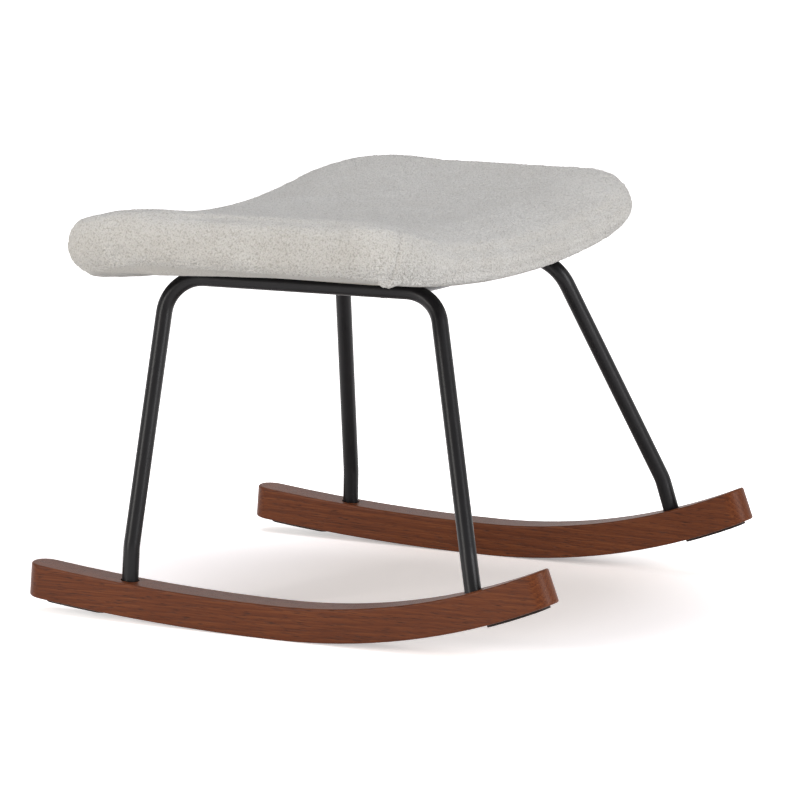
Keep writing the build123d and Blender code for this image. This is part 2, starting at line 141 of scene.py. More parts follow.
blotch = node(tree, "TexNoise", {"Vector": place, "Scale": 14.0, "Detail": 2.0})
mixed = node(tree, "Math", {0: streaks.outputs["Fac"], 1: STREAK_SHARE}, operation="MULTIPLY").outputs[0]
mixed = node(tree, "Math", {0: rings.outputs["Fac"], 1: RING_SHARE, 2: mixed}, operation="MULTIPLY_ADD")
mixed = node(tree, "Math", {0: blotch.outputs["Fac"], 1: BLOTCH_SHARE, 2: mixed.outputs[0]},
             operation="MULTIPLY_ADD")
stain = node(tree, "ValToRGB", {"Fac": mixed.outputs[0]}, stops=(
    (0.34, "#4D2714"), (0.50, "#5F3019"), (0.60, "#68361C"), (0.76, "#764224"))).outputs["Color"]
stained = node(tree, "Mix", {0: pore_depth, 6: stain, 7: colour("#432111")}, data_type="RGBA")
tree.links.new(stained.outputs[2], shader.inputs["Base Color"])
satin = node(tree, "MapRange", {"Value": streaks.outputs["Fac"], "To Min": 0.34, "To Max": 0.44})
tree.links.new(satin.outputs["Result"], shader.inputs["Roughness"])
relief = node(tree, "Math", {0: pore_depth, 1: -1.0}, operation="MULTIPLY").outputs[0]
relief = node(tree, "Math", {0: streaks.outputs["Fac"], 1: 0.5, 2: relief}, operation="MULTIPLY_ADD").outputs[0]
bump = node(tree, "Bump", {"Height": relief, "Strength": 0.35, "Distance": 0.0004})
tree.links.new(bump.outputs["Normal"], shader.inputs["Normal"])
dress(ash, "rocker_left", "rocker_right")

# ---------------------------------------------------------------- feet strips
# Four strips of pressed wool felt, die-cut with round ends and glued under the ends of the rockers.
# They soften the stop when the stool is tipped as far as it goes.

FIBRE = 0.0006                # drawn about three times as thick as a wool fibre, to show

# Pressed felt: no gloss at all, short matted fibres in dark brown with a little fluff.
felt, tree, shader = new_material("pressed_felt", {"Sheen Weight": 0.15, "Sheen Roughness": 0.6,
                                                   "Specular IOR Level": 0.2}, 0.95)
place = node(tree, "TexCoord").outputs["Object"]
fibres = node(tree, "TexNoise", {"Vector": place, "Scale": 1 / FIBRE, "Detail": 4.0, "Distortion": 1.5})
matted = node(tree, "ValToRGB", {"Fac": fibres.outputs["Fac"]}, stops=((0.35, "#241C18"), (0.65, "#382D27")))
tree.links.new(matted.outputs["Color"], shader.inputs["Base Color"])
bump = node(tree, "Bump", {"Height": fibres.outputs["Fac"], "Strength": 0.6, "Distance": 0.0006})
tree.links.new(bump.outputs["Normal"], shader.inputs["Normal"])
dress(felt, "felt_strip_front_left", "felt_strip_front_right", "felt_strip_rear_left", "felt_strip_rear_right")

# ---------------------------------------------------------------- frame
# Two side frames of 16 mm steel tube, bent in one piece from rocker to rocker, and two cross tubes and
# four drilled tabs welded between and beside their rails. The whole frame is powder coated satin black.

PEEL = 0.0016                 # width of the waves in the coating
GRIT = 0.00035                # texture of the powder, drawn coarser than it is to show

# Polyester powder coat, baked: an even soft gloss over a faint orange peel.
coat, tree, shader = new_material("black_powder_coat", {"Specular IOR Level": 0.2}, 0.32)
place = node(tree, "TexCoord").outputs["Object"]
peel = node(tree, "TexNoise", {"Vector": place, "Scale": 1 / PEEL, "Detail": 2.0})
grit = node(tree, "TexNoise", {"Vector": place, "Scale": 1 / GRIT, "Detail": 1.0})
wear = node(tree, "TexNoise", {"Vector": place, "Scale": 38.0, "Detail": 3.0})
shade = node(tree, "ValToRGB", {"Fac": wear.outputs["Fac"]}, stops=((0.3, "#0D0C0E"), (0.7, "#141315")))
tree.links.new(shade.outputs["Color"], shader.inputs["Base Color"])
gloss = node(tree, "MapRange", {"Value": wear.outputs["Fac"], "To Min": 0.27, "To Max": 0.36})
tree.links.new(gloss.outputs["Result"], shader.inputs["Roughness"])
skin = node(tree, "Math", {0: grit.outputs["Fac"], 1: 0.25, 2: peel.outputs["Fac"]}, operation="MULTIPLY_ADD")
bump = node(tree, "Bump", {"Height": skin.outputs[0], "Strength": 0.25, "Distance": 0.0003})
tree.links.new(bump.outputs["Normal"], shader.inputs["Normal"])
dress(coat, "side_frame_left", "side_frame_right", "front_cross_tube", "rear_cross_tube",
      "seat_tab_front_left", "seat_tab_front_right", "seat_tab_rear_left", "seat_tab_rear_right")

# ---------------------------------------------------------------- weld beads
# Each end of a cross tube is closed by one run of weld round its coped end, coated with the frame.
# The bead follows the saddle where the two tubes meet, in small overlapping ripples.

TUBE_RADIUS = 0.008
RAIL_FRONT, RAIL_REAR = -0.1565, 0.1075  # ends of the straight run of a rail
RAIL_FRONT_OUT, RAIL_REAR_OUT = 0.176, 0.1305  # its distance from the middle plane there
RAIL_SLOPE = (RAIL_REAR_OUT - RAIL_FRONT_OUT) / (RAIL_REAR - RAIL_FRONT)
BEAD_RADIUS = 0.0013
BEAD_THIN = 0.35              # share of its size that a bead keeps at the top and bottom of the tube
RIPPLES, RIPPLE = 34, 0.24    # round a bead, and the share that they change of its size
SLOW_WAVES, SLOW_WAVE = 5, 0.12  # the same for its unevenness
SLOW_PHASE = 90               # turn of that for each metre along the frame, so that front and rear differ
END_LENGTH = 0.006            # of the end of a cross tube that its height is taken from


def choose_only(piece):
    """Deselects everything, then selects and activates one piece."""
    for other in bpy.context.view_layer.objects:
        other.select_set(False)
    piece.select_set(True)
    bpy.context.view_layer.objects.active = piece


def weld_bead(name, tube, side):
    """Bead round one end of a cross tube, on the rail of one side."""
    low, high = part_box(tube)
    end_y = (low if side < 0 else high).y
    middle_x = (low.x + high.x) / 2
    heights = [v.co.z for v in frame["nodes"][tube].data.vertices if abs(v.co.y - end_y) < END_LENGTH]
    middle_z = (max(heights) + min(heights)) / 2
    rail_y = side * (RAIL_FRONT_OUT + (middle_x - RAIL_FRONT) * RAIL_SLOPE)
    bpy.ops.mesh.primitive_torus_add(location=(middle_x, 0, middle_z), rotation=(radians(90), 0, 0),
                                     major_radius=TUBE_RADIUS, minor_radius=BEAD_RADIUS,
                                     major_segments=3 * RIPPLES, minor_segments=10)
    bead = bpy.context.object
    bead.name = name
    bpy.ops.object.transform_apply(location=True, rotation=True, scale=True)
    for vertex in bead.data.vertices:
        across, up = vertex.co.x - middle_x, vertex.co.z - middle_z
        turn = atan2(up, across)
        thin = BEAD_THIN + (1 - BEAD_THIN) * abs(cos(turn))
        ripple = 1 + RIPPLE * sin(RIPPLES * turn) + SLOW_WAVE * sin(SLOW_WAVES * turn + middle_x * SLOW_PHASE)
        reach = TUBE_RADIUS + (hypot(across, up) - TUBE_RADIUS) * thin * ripple
        across, up = reach * cos(turn), max(min(reach * sin(turn), TUBE_RADIUS), -TUBE_RADIUS)
        saddle = sqrt(max(TUBE_RADIUS ** 2 - up ** 2, 0))
        base_y = rail_y - side * (saddle + BEAD_RADIUS * thin) + side * across * RAIL_SLOPE
        vertex.co = (middle_x + across, base_y + vertex.co.y * thin * ripple, middle_z + up)
    bpy.ops.object.shade_smooth()
    bead.data.materials.append(coat)
    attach(bead, "root")


for tube in ("front_cross_tube", "rear_cross_tube"):
    for side_name, side in (("left", -1), ("right", 1)):
        weld_bead(f"weld_{tube}_{side_name}", tube, side)

# ---------------------------------------------------------------- fasteners
# Cap screws, washers, leg plugs and tee nuts are bright zinc-plated steel. They are seen from below
# only, in the counterbores of the rockers and under the seat tabs.

# Zinc plate over turned steel: a pale blue-grey metal with a faint frosted bloom.
zinc, tree, shader = new_material("zinc_plate", {"Metallic": 1.0}, 0.34)
place = node(tree, "TexCoord").outputs["Object"]
bloom = node(tree, "TexNoise", {"Vector": place, "Scale": 420.0, "Detail": 4.0})
plated = node(tree, "ValToRGB", {"Fac": bloom.outputs["Fac"]}, stops=((0.3, "#A9AEB2"), (0.7, "#C3C7CA")))
tree.links.new(plated.outputs["Color"], shader.inputs["Base Color"])
frost = node(tree, "MapRange", {"Value": bloom.outputs["Fac"], "To Min": 0.26, "To Max": 0.44})
tree.links.new(frost.outputs["Result"], shader.inputs["Roughness"])
bump = node(tree, "Bump", {"Height": bloom.outputs["Fac"], "Strength": 0.15, "Distance": 0.0002})
tree.links.new(bump.outputs["Normal"], shader.inputs["Normal"])
dress(zinc, "leg_plugs", "leg_screws", "leg_washers", "tee_nuts", "seat_screws", "seat_washers")

# ---------------------------------------------------------------- seat board
# A sheet of birch veneers glued and pressed to the dish of the seat. The cover hides all of it but
# the inside of its screw holes.

PLY = 0.0014                  # thickness of one veneer

# Birch plywood: pale, with thin glue lines between light and dark veneers at a cut edge.
birch, tree, shader = new_material("birch_plywood", {}, 0.6)
place = node(tree, "TexCoord").outputs["Object"]
layers = node(tree, "TexWave", {"Vector": place, "Scale": WAVE_RING / PLY / 2, "Distortion": 0.3},
              bands_direction="Z")
fleck_space = node(tree, "Mapping", {"Vector": place, "Scale": (40.0, 900.0, 900.0)}).outputs["Vector"]
fleck = node(tree, "TexNoise", {"Vector": fleck_space, "Scale": 1.0, "Detail": 3.0})
layered = node(tree, "Math", {0: layers.outputs["Fac"], 1: 0.4, 2: fleck.outputs["Fac"]},
               operation="MULTIPLY_ADD")
veneer = node(tree, "ValToRGB", {"Fac": layered.outputs[0]}, stops=((0.3, "#B58E5E"), (0.9, "#D9BC8C")))
tree.links.new(veneer.outputs["Color"], shader.inputs["Base Color"])
bump = node(tree, "Bump", {"Height": fleck.outputs["Fac"], "Strength": 0.2, "Distance": 0.0003})
tree.links.new(bump.outputs["Normal"], shader.inputs["Normal"])
dress(birch, "seat_board")

# ---------------------------------------------------------------- padded seat
# One cover of looped-pile cloth over foam, pulled down round the board, with a sewn dart at each of the
# four corners and a hem turned under. The pile is off-white curls two to three millimetres across.

SEAT_FRONT, SEAT_REAR = -0.234, 0.153
SEAT_FRONT_WIDTH, SEAT_REAR_WIDTH = 0.577, 0.532
SEAT_CORNER = 0.067
SEAT_UNDERSIDE = 0.3252
SEAT_THICKNESS = 0.0564
DISH_RADIUS = 1.520
FALL_RADIUS, FALL_START = 0.260, -0.122
HEM_WIDTH, FRONT_SETBACK, BOARD_SETBACK = 0.042, 0.014, 0.027
BOARD_LIFT, BOARD_THICKNESS = 0.0028, 0.012

VOXEL = 0.004                 # of the remeshed pad, halved by its subdivision and again where there is pile
TUCK = 0.0016                 # that the pad starts inside its final skin
HELD_HEIGHT = 0.004           # of the part that the board holds while the pad is stuffed
STUFFING_FRAMES = 20
MOST_MOVED = 0.0022           # by the stuffing

# heights here are above the underside, and insets are measured inwards from the outline
UPPER_START, UPPER_RUN = 0.016, 0.030  # height where the shaping of the upper side sets in
RIM_FULLNESS = 0.0012         # of the padded edge beyond a plain round
SIDE_FILL = 0.0024            # that the sides swell by
VALLEY_DEPTH, VALLEY_INSET, VALLEY_WIDTH = 0.0015, 0.026, 0.008  # of the top inside its rim
CREST, CREST_INSET, CREST_WIDTH = 0.0007, 0.011, 0.005  # of the rim beside that valley
REAR_ROLL, ROLL_LENGTH, ROLL_POWER = 0.012, 0.066, 1.3  # that the top falls towards its rear edge
ROLL_RUN, CORNER_ROLL = 0.090, 0.25  # where the roll fades to its share at the corners
CREASE, CREASE_INSET, CREASE_WIDTH = 0.0026, 0.009, 0.0045  # along the rear edge
CREASE_START = 0.09
SIDE_LIFT, LIFT_WIDTH = 0.0045, 0.055  # of both sides towards their rear ends
LIFT_START, LIFT_RUN = -0.070, 0.160
SAG, SAG_INSET, SAG_WIDTH, SAG_HEIGHT = 0.0062, 0.022, 0.012, 0.014  # of the padding under both sides
SAG_PLACES = (SEAT_FRONT + 0.03, -0.165, -0.12, -0.06, 0.0, 0.09)  # along a side
SAG_SHARES = (0.1, 0.85, 1.2, 0.65, 0.24, 0.03)
SAG_BAND, SAG_FADE = 0.090, 0.045  # width that it reaches inwards
DART_DEPTH, DART_WIDTH = 0.0012, 0.0024
DART_START, DART_RUN, DART_FOOT = 0.030, 0.016, 0.010  # distance from the corner's centre, and height
FRONT_SEAM_RUN, REAR_SEAM_RUN = 0.023, 0.015  # of a dart towards the short side of the seat, going down
SWELL, SWELL_ASIDE, SWELL_WIDTH = 0.0003, 2.6 * DART_WIDTH, 1.6 * DART_WIDTH  # beside a dart
FRONT_GATHER, REAR_GATHER = 0.00825, 0.00385  # that the gathered cloth hangs at the foot of a dart
GATHER_WIDTH, GATHER_LIFT, GATHER_HEIGHT = 0.009, 0.002, 0.005
GATHER_START, GATHER_FULLNESS = 0.052, 0.0012

HEM_RISE, HEM_FADE = -0.95, 0.20  # upward part of the normal where the pile thins out on the hem
LEAST_PILE, TOP_PILE = 0.1, 0.7  # shares of its height, on the hem and on the top
FINER_FROM = 0.3              # share of the pile from which the mesh is finer
CURL, CURL_HEIGHT = 0.0028, 0.0018
FLECK, FLECK_HEIGHT = 0.0020, 0.0014

ROOM_ASIDE, ROOM_BELOW, ROOM_ABOVE = 0.0006, 0.0004, 0.0022  # of the board in the foam
OPENING_BELOW, OPENING_ABOVE = 0.02, 0.006  # that the cut inside the hem reaches past the underside
CUT_STEP = 0.02


def section_lift(x, lift):
    """Height of a line parallel to the underside's section above the dish, at the middle plane."""
    ahead = np.maximum(FALL_START - x, 0)
    return np.sqrt((FALL_RADIUS + lift) ** 2 - ahead ** 2) - FALL_RADIUS


def dished(x, y, lift):
    """Height of the surface that lies a lift above the underside of the seat."""
    radius = DISH_RADIUS - section_lift(x, lift)
    return SEAT_UNDERSIDE + DISH_RADIUS - np.sqrt(radius ** 2 - y ** 2)


def bell(distance, width):
    """One where the distance is zero, falling smoothly to nothing at about twice the width."""
    return np.exp(-(distance / width) ** 2)


def half_width(x):
    """Half of the seat's width at a distance along it."""
    share = (x - SEAT_FRONT) / (SEAT_REAR - SEAT_FRONT)
    return (SEAT_FRONT_WIDTH + share * (SEAT_REAR_WIDTH - SEAT_FRONT_WIDTH)) / 2


def read_points(piece):
    """Vertex positions and normals as arrays."""
    count = len(piece.data.vertices)
    points, normals = np.empty(count * 3), np.empty(count * 3)
    piece.data.vertices.foreach_get("co", points)
    piece.data.vertices.foreach_get("normal", normals)
    return points.reshape(-1, 3), normals.reshape(-1, 3)


def set_points(piece, points):
    """Writes vertex positions."""
    piece.data.vertices.foreach_set("co", points.ravel())
    piece.data.update()


def apply(piece, name, kind, **settings):
    """Adds a modifier with its settings and applies it."""
    choose_only(piece)
    modifier = piece.modifiers.new(name, kind)
    for key, value in settings.items():
        setattr(modifier, key, value)
    bpy.ops.object.modifier_apply(modifier=name)


def merged_copy(*nodes):
    """One new piece from copies of CAD nodes, with their loose triangles merged."""
    copies = []
    for name in nodes:
        copy = bpy.data.objects.new(name + "_copy", frame["nodes"][name].data.copy())
        bpy.context.scene.collection.objects.link(copy)
        copies.append(copy)
    choose_only(copies[0])
    for copy in copies:
        copy.select_set(True)
    bpy.ops.object.join()
    bpy.ops.mesh.customdata_custom_splitnormals_clear()
    bpy.ops.object.mode_set(mode="EDIT")
    bpy.ops.mesh.select_all(action="SELECT")
    bpy.ops.mesh.remove_doubles(threshold=0.00002)
    bpy.ops.object.mode_set(mode="OBJECT")
    return copies[0]


def dished_plate(name, inset, low, high, step):
    """Closed sheet between two lifts, cut to the seat's outline inside an inset."""
    front, rear = SEAT_FRONT + inset + FRONT_SETBACK, SEAT_REAR - inset
    bpy.ops.object.select_all(action="DESELECT")
    bpy.ops.mesh.primitive_plane_add(size=1)
    plate = bpy.context.object
    plate.name = name
    for vertex in plate.data.vertices:
        x = front if vertex.co.x < 0 else rear
        vertex.co = (x, np.sign(vertex.co.y) * (half_width(x) - inset), 0)
    bpy.ops.object.mode_set(mode="EDIT")
    bpy.ops.mesh.select_all(action="SELECT")
    bpy.ops.mesh.bevel(offset=SEAT_CORNER - inset, segments=10, affect="VERTICES")
    bpy.ops.mesh.select_all(action="SELECT")
    bpy.ops.mesh.extrude_region_move(TRANSFORM_OT_translate={"value": (0, 0, 1)})
    for axis, start, end in ((0, front, rear), (1, -SEAT_FRONT_WIDTH / 2, SEAT_FRONT_WIDTH / 2)):
        for cut in np.arange(start + step, end, step):
            at, across = [0, 0, 0], [0, 0, 0]
            at[axis], across[axis] = cut, 1
            bpy.ops.mesh.select_all(action="SELECT")
            bpy.ops.mesh.bisect(plane_co=at, plane_no=across)
    bpy.ops.mesh.select_all(action="SELECT")
    bpy.ops.mesh.normals_make_consistent(inside=False)
    bpy.ops.object.mode_set(mode="OBJECT")
    points, _ = read_points(plate)
    lifts = np.where(points[:, 2] > 0.5, high, low)
    points[:, 2] = dished(points[:, 0], points[:, 1], lifts)
    set_points(plate, points)
    return plate


def stuff(pad):
    """Blows the pad up a little against its cover, with its underside held by the board."""
    points, _ = read_points(pad)
    under = points[:, 2] - dished(points[:, 0], points[:, 1], 0) < HELD_HEIGHT
    held = pad.vertex_groups.new(name="held")
    held.add(np.flatnonzero(under).tolist(), 1.0, "REPLACE")
    cloth = pad.modifiers.new("stuffing", "CLOTH")
    cloth.settings.quality = 4
    cloth.settings.mass = 0.25
    cloth.settings.tension_stiffness = 18
    cloth.settings.compression_stiffness = 18
    cloth.settings.shear_stiffness = 6
    cloth.settings.bending_stiffness = 1.5
    cloth.settings.use_pressure = True
    cloth.settings.uniform_pressure_force = 4
    cloth.settings.effector_weights.gravity = 0
    cloth.settings.vertex_group_mass = "held"
    cloth.point_cache.frame_start, cloth.point_cache.frame_end = 1, STUFFING_FRAMES
    for number in range(1, STUFFING_FRAMES + 1):
        bpy.context.scene.frame_set(number)
    blown = pad.evaluated_get(bpy.context.evaluated_depsgraph_get())
    moved = np.empty(len(points) * 3)
    blown.data.vertices.foreach_get("co", moved)
    moved = moved.reshape(-1, 3) - points
    far = np.linalg.norm(moved, axis=1, keepdims=True)
    moved *= np.minimum(1, MOST_MOVED / np.maximum(far, 1e-9))
    pad.modifiers.remove(cloth)
    pad.vertex_groups.remove(held)
    set_points(pad, points + moved)
    bpy.context.scene.frame_set(1)


# one skin round the cover, the foam and the board, without the inner walls that the voxels leave
pad = merged_copy("seat_cover", "seat_foam", "seat_board")
apply(pad, "skin", "REMESH", mode="VOXEL", voxel_size=VOXEL)
bpy.ops.object.mode_set(mode="EDIT")
bpy.ops.mesh.select_all(action="SELECT")
bpy.ops.mesh.separate(type="LOOSE")
bpy.ops.object.mode_set(mode="OBJECT")
islands = sorted(bpy.context.selected_objects, key=lambda island: len(island.data.vertices))
pad = islands.pop()
for inner in islands:
    bpy.data.objects.remove(inner)
pad.name = "padded_seat"
choose_only(pad)
bpy.ops.object.mode_set(mode="EDIT")
bpy.ops.mesh.select_all(action="SELECT")
bpy.ops.mesh.vertices_smooth(factor=0.5, repeat=4)
bpy.ops.transform.shrink_fatten(value=-TUCK)
bpy.ops.object.mode_set(mode="OBJECT")
stuff(pad)
apply(pad, "finer", "SUBSURF", levels=1, render_levels=1)

# where each point of the stuffed pad is on the seat
points, normals = read_points(pad)
x, y, z = points.T
rise = np.clip(normals[:, 2], -1, 1)
over = z - dished(x, y, 0)
beyond_x = np.abs(x - (SEAT_FRONT + SEAT_REAR) / 2) - (SEAT_REAR - SEAT_FRONT) / 2 + SEAT_CORNER
beyond_y = np.abs(y) - half_width(x) + SEAT_CORNER
inside = (SEAT_CORNER - np.hypot(np.maximum(beyond_x, 0), np.maximum(beyond_y, 0))
          - np.minimum(np.maximum(beyond_x, beyond_y), 0))
to_side = half_width(x) - np.abs(y)
to_rear = np.clip(SEAT_REAR - x, 0, ROLL_LENGTH)
upper = np.clip((over - UPPER_START) / UPPER_RUN, 0, 1)

# a full rim with a shallow valley inside it, and swollen sides
push = RIM_FULLNESS * (2 * rise * np.sqrt(1 - rise ** 2)) ** 2 * (rise > 0)
push += SIDE_FILL * (1 - np.abs(rise))
push -= VALLEY_DEPTH * bell(inside - VALLEY_INSET, VALLEY_WIDTH) * (rise > 0.5)
push += CREST * bell(inside - CREST_INSET, CREST_WIDTH) * upper

# the top falls to a crease along the rear edge, between two sides that rise to the rear
rolled = np.clip(to_side / ROLL_RUN, CORNER_ROLL, 1) * upper
points[:, 2] -= REAR_ROLL * (1 - to_rear / ROLL_LENGTH) ** ROLL_POWER * rolled
push -= CREASE * bell(inside - CREASE_INSET, CREASE_WIDTH) * rolled * (x > CREASE_START)
lifted = np.clip((x - LIFT_START) / LIFT_RUN, 0, 1) * bell(to_side, LIFT_WIDTH) * upper
points[:, 2] += SIDE_LIFT * lifted * to_rear / ROLL_LENGTH

# the padding hangs a little under both sides
hangs = SAG * bell(inside - SAG_INSET, SAG_WIDTH) * bell(np.maximum(over, 0), SAG_HEIGHT)
hangs *= np.interp(x, SAG_PLACES, SAG_SHARES) * np.clip((SAG_BAND - to_side) / SAG_FADE, 0, 1)
points[:, 2] -= hangs

# a dart down each corner, with the cloth gathered at its foot
for corner_x, turn_x, seam_run, gather_drop in ((SEAT_FRONT, 1, FRONT_SEAM_RUN, FRONT_GATHER),
                                                (SEAT_REAR, -1, REAR_SEAM_RUN, REAR_GATHER)):
    for side in (-1, 1):
        from_x = x - corner_x - turn_x * SEAT_CORNER
        from_y = y - side * (half_width(corner_x) - SEAT_CORNER)
        out_x, out_y = -turn_x * sqrt(0.5), side * sqrt(0.5)
        along = from_x * out_x + from_y * out_y
        beside = from_x * out_y - from_y * out_x
        beside -= turn_x * side * seam_run * (1 - np.clip(over / SEAT_THICKNESS, 0, 1))
        dart = DART_DEPTH * bell(beside, DART_WIDTH) * np.clip(over / DART_FOOT, 0, 1)
        swell = SWELL * bell(np.abs(beside) - SWELL_ASIDE, SWELL_WIDTH)
        push += np.clip((along - DART_START) / DART_RUN, 0, 1) * (swell - dart)
        gather = bell(over - GATHER_LIFT, GATHER_HEIGHT) * bell(beside, GATHER_WIDTH) * (along > GATHER_START)
        points[:, 2] -= gather_drop * gather
        push += GATHER_FULLNESS * gather
points += normals * push[:, None]
set_points(pad, points)

# the height of the pile, kept for its curls and for its colour
pile = np.clip((rise - HEM_RISE) / HEM_FADE, LEAST_PILE, 1)
pile *= np.interp(over, (0, SEAT_THICKNESS), (1, TOP_PILE))
pile_group = pad.vertex_groups.new(name="pile_height")
for tenths in range(1, 11):
    pile_group.add(np.flatnonzero(np.round(pile * 10) == tenths).tolist(), tenths / 10, "REPLACE")
stored = pad.data.attributes.new("pile", "FLOAT", "POINT")
stored.data.foreach_set("value", pile.astype(np.float32))

# the room for the board, and the opening inside the hem
room = dished_plate("board_room", BOARD_SETBACK - ROOM_ASIDE, BOARD_LIFT - ROOM_BELOW,
                    BOARD_LIFT + BOARD_THICKNESS + ROOM_ABOVE, CUT_STEP)
opening = dished_plate("hem_opening", HEM_WIDTH, -OPENING_BELOW, BOARD_LIFT + OPENING_ABOVE, CUT_STEP)
apply(room, "joined", "BOOLEAN", operation="UNION", solver="EXACT", object=opening)
apply(pad, "hollow", "BOOLEAN", operation="DIFFERENCE", solver="EXACT", object=room)
bpy.data.objects.remove(room)
bpy.data.objects.remove(opening)

# a finer mesh wherever there is pile, for its curls
choose_only(pad)
heights = np.empty(len(pad.data.vertices))
pad.data.attributes["pile"].data.foreach_get("value", heights)
pad.data.vertices.foreach_set("select", heights > FINER_FROM)
bpy.ops.object.mode_set(mode="EDIT")
bpy.ops.mesh.select_mode(type="VERT")
bpy.ops.mesh.subdivide(number_cuts=1)
bpy.ops.object.mode_set(mode="OBJECT")

curls = bpy.data.textures.new("curls", "VORONOI")
curls.noise_scale = CURL
curls.distance_metric = "DISTANCE"
apply(pad, "curls", "DISPLACE", texture=curls, texture_coords="LOCAL", strength=-CURL_HEIGHT,
      mid_level=0.42, vertex_group="pile_height")
flecks = bpy.data.textures.new("flecks", "CLOUDS")
flecks.noise_scale = FLECK
apply(pad, "flecks", "DISPLACE", texture=flecks, texture_coords="LOCAL", strength=FLECK_HEIGHT,
      mid_level=0.5, vertex_group="pile_height")
choose_only(pad)
bpy.ops.object.shade_smooth()

LOOP, THREAD = 0.0015, 0.0009  # width of a loop of the pile and of its yarn
TWIST = 0.0022                # that the loops lean about

# Looped wool blend over foam: soft off-white curls with painted shade in the small hollows between them, no
# gloss.
boucle, tree, shader = new_material("looped_pile_cloth", {"Sheen Weight": 0.25, "Sheen Roughness": 0.5,
                                                         "Specular IOR Level": 0.15}, 0.95)
place = node(tree, "TexCoord").outputs["Object"]
pile_here = node(tree, "Attribute", attribute_name="pile").outputs["Fac"]
twist = node(tree, "TexNoise", {"Vector": place, "Scale": 420.0, "Detail": 2.0})
twist = node(tree, "VectorMath", {0: twist.outputs["Color"], "Scale": TWIST}, operation="SCALE")
curly = node(tree, "VectorMath", {0: place, 1: twist.outputs["Vector"]}, operation="ADD").outputs["Vector"]
loops = node(tree, "TexVoronoi", {"Vector": curly, "Scale": 1 / LOOP, "Smoothness": 0.4}, feature="SMOOTH_F1")
threads = node(tree, "TexNoise", {"Vector": curly, "Scale": 1 / THREAD, "Detail": 3.0})
# painted shade: the colour is darkened in the hollows between the loops, where shade would fall
painted_pit_shade = node(tree, "MapRange", {"Value": loops.outputs["Distance"], "From Min": 0.40, "From Max": 0.85})
tone = node(tree, "TexNoise", {"Vector": place, "Scale": 22.0, "Detail": 3.0})
wool = node(tree, "ValToRGB", {"Fac": tone.outputs["Fac"]}, stops=((0.3, "#D5D1CB"), (0.7, "#DCD9D4")))
specks_and_pit_shade = node(tree, "Math", {0: threads.outputs["Fac"], 1: 0.30, 2: painted_pit_shade.outputs["Result"]},
              operation="MULTIPLY_ADD")
# share of a darker grey-brown, from the painted shade in the hollows and the random speckle of the threads
speck_and_pit_shade_share = node(tree, "MapRange", {"Value": specks_and_pit_shade.outputs[0], "From Min": 0.25, "From Max": 1.1, "To Max": 0.56})
curled = node(tree, "Mix", {0: speck_and_pit_shade_share.outputs["Result"], 6: wool.outputs["Color"], 7: colour("#8C857B")},
              data_type="RGBA")
cloth = node(tree, "Mix", {0: pile_here, 6: colour("#C9C4BC"), 7: curled.outputs[2]}, data_type="RGBA")
tree.links.new(cloth.outputs[2], shader.inputs["Base Color"])
relief = node(tree, "Math", {0: threads.outputs["Fac"], 1: 0.45}, operation="MULTIPLY").outputs[0]
relief = node(tree, "Math", {0: loops.outputs["Distance"], 1: -1.0, 2: relief}, operation="MULTIPLY_ADD")
bump = node(tree, "Bump", {"Height": relief.outputs[0], "Strength": 0.8, "Distance": 0.0013})
tree.links.new(bump.outputs["Normal"], shader.inputs["Normal"])
pad.data.materials.clear()
pad.data.materials.append(boucle)
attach(pad, "root")
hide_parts("seat_cover", "seat_foam")

# ---------------------------------------------------------------- underside lining
# A sheet of pale grey spunbonded cloth closes the underside inside the hem. It is stretched flat to the
# board and stapled along its edge, with staples too small and flat to be modelled.

LINING_LIFT, LINING_THICKNESS = 0.0019, 0.0006
LINING_GAP = 0.0004           # to the hem
LINING_STEP = 0.01
EDGE_DROP, EDGE_DROP_WIDTH = 0.0015, 0.014  # where it is drawn down level with the hem at both sides
BOND = 0.0018                 # distance between the bonding points

lining = dished_plate("stapled_lining", HEM_WIDTH + LINING_GAP, LINING_LIFT, LINING_LIFT + LINING_THICKNESS,
                      LINING_STEP)
points, _ = read_points(lining)
to_side = half_width(points[:, 0]) - HEM_WIDTH - np.abs(points[:, 1])
points[:, 2] -= EDGE_DROP * np.clip(1 - to_side / EDGE_DROP_WIDTH, 0, 1) ** 2
set_points(lining, points)
choose_only(lining)
bpy.ops.object.shade_smooth_by_angle(angle=radians(40))

# Spunbonded polypropylene: matt, with a fine embossed grid of bonding points.
spun, tree, shader = new_material("spunbonded_cloth", {"Specular IOR Level": 0.25}, 0.8)
place = node(tree, "TexCoord").outputs["Object"]
bonds = node(tree, "TexVoronoi", {"Vector": place, "Scale": 1 / BOND, "Randomness": 0.15})
web = node(tree, "TexNoise", {"Vector": place, "Scale": 900.0, "Detail": 4.0, "Distortion": 2.0})
dots = node(tree, "MapRange", {"Value": bonds.outputs["Distance"], "From Min": 0.15, "From Max": 0.35})
pale = node(tree, "ValToRGB", {"Fac": web.outputs["Fac"]}, stops=((0.35, "#B9B4AC"), (0.65, "#C6C2BA")))
tree.links.new(pale.outputs["Color"], shader.inputs["Base Color"])
emboss = node(tree, "Math", {0: web.outputs["Fac"], 1: 0.3, 2: dots.outputs["Result"]},
              operation="MULTIPLY_ADD")
bump = node(tree, "Bump", {"Height": emboss.outputs[0], "Strength": 0.4, "Distance": 0.0003})
tree.links.new(bump.outputs["Normal"], shader.inputs["Normal"])
lining.data.materials.append(spun)
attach(lining, "root")
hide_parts("underside_lining")

# ---------------------------------------------------------------- floor, light and camera
# The stool stands on a white studio floor between two tall soft lamps, one to the left of the camera
# and one far to its right, with a weaker one overhead. The floor glows to white away from the stool.

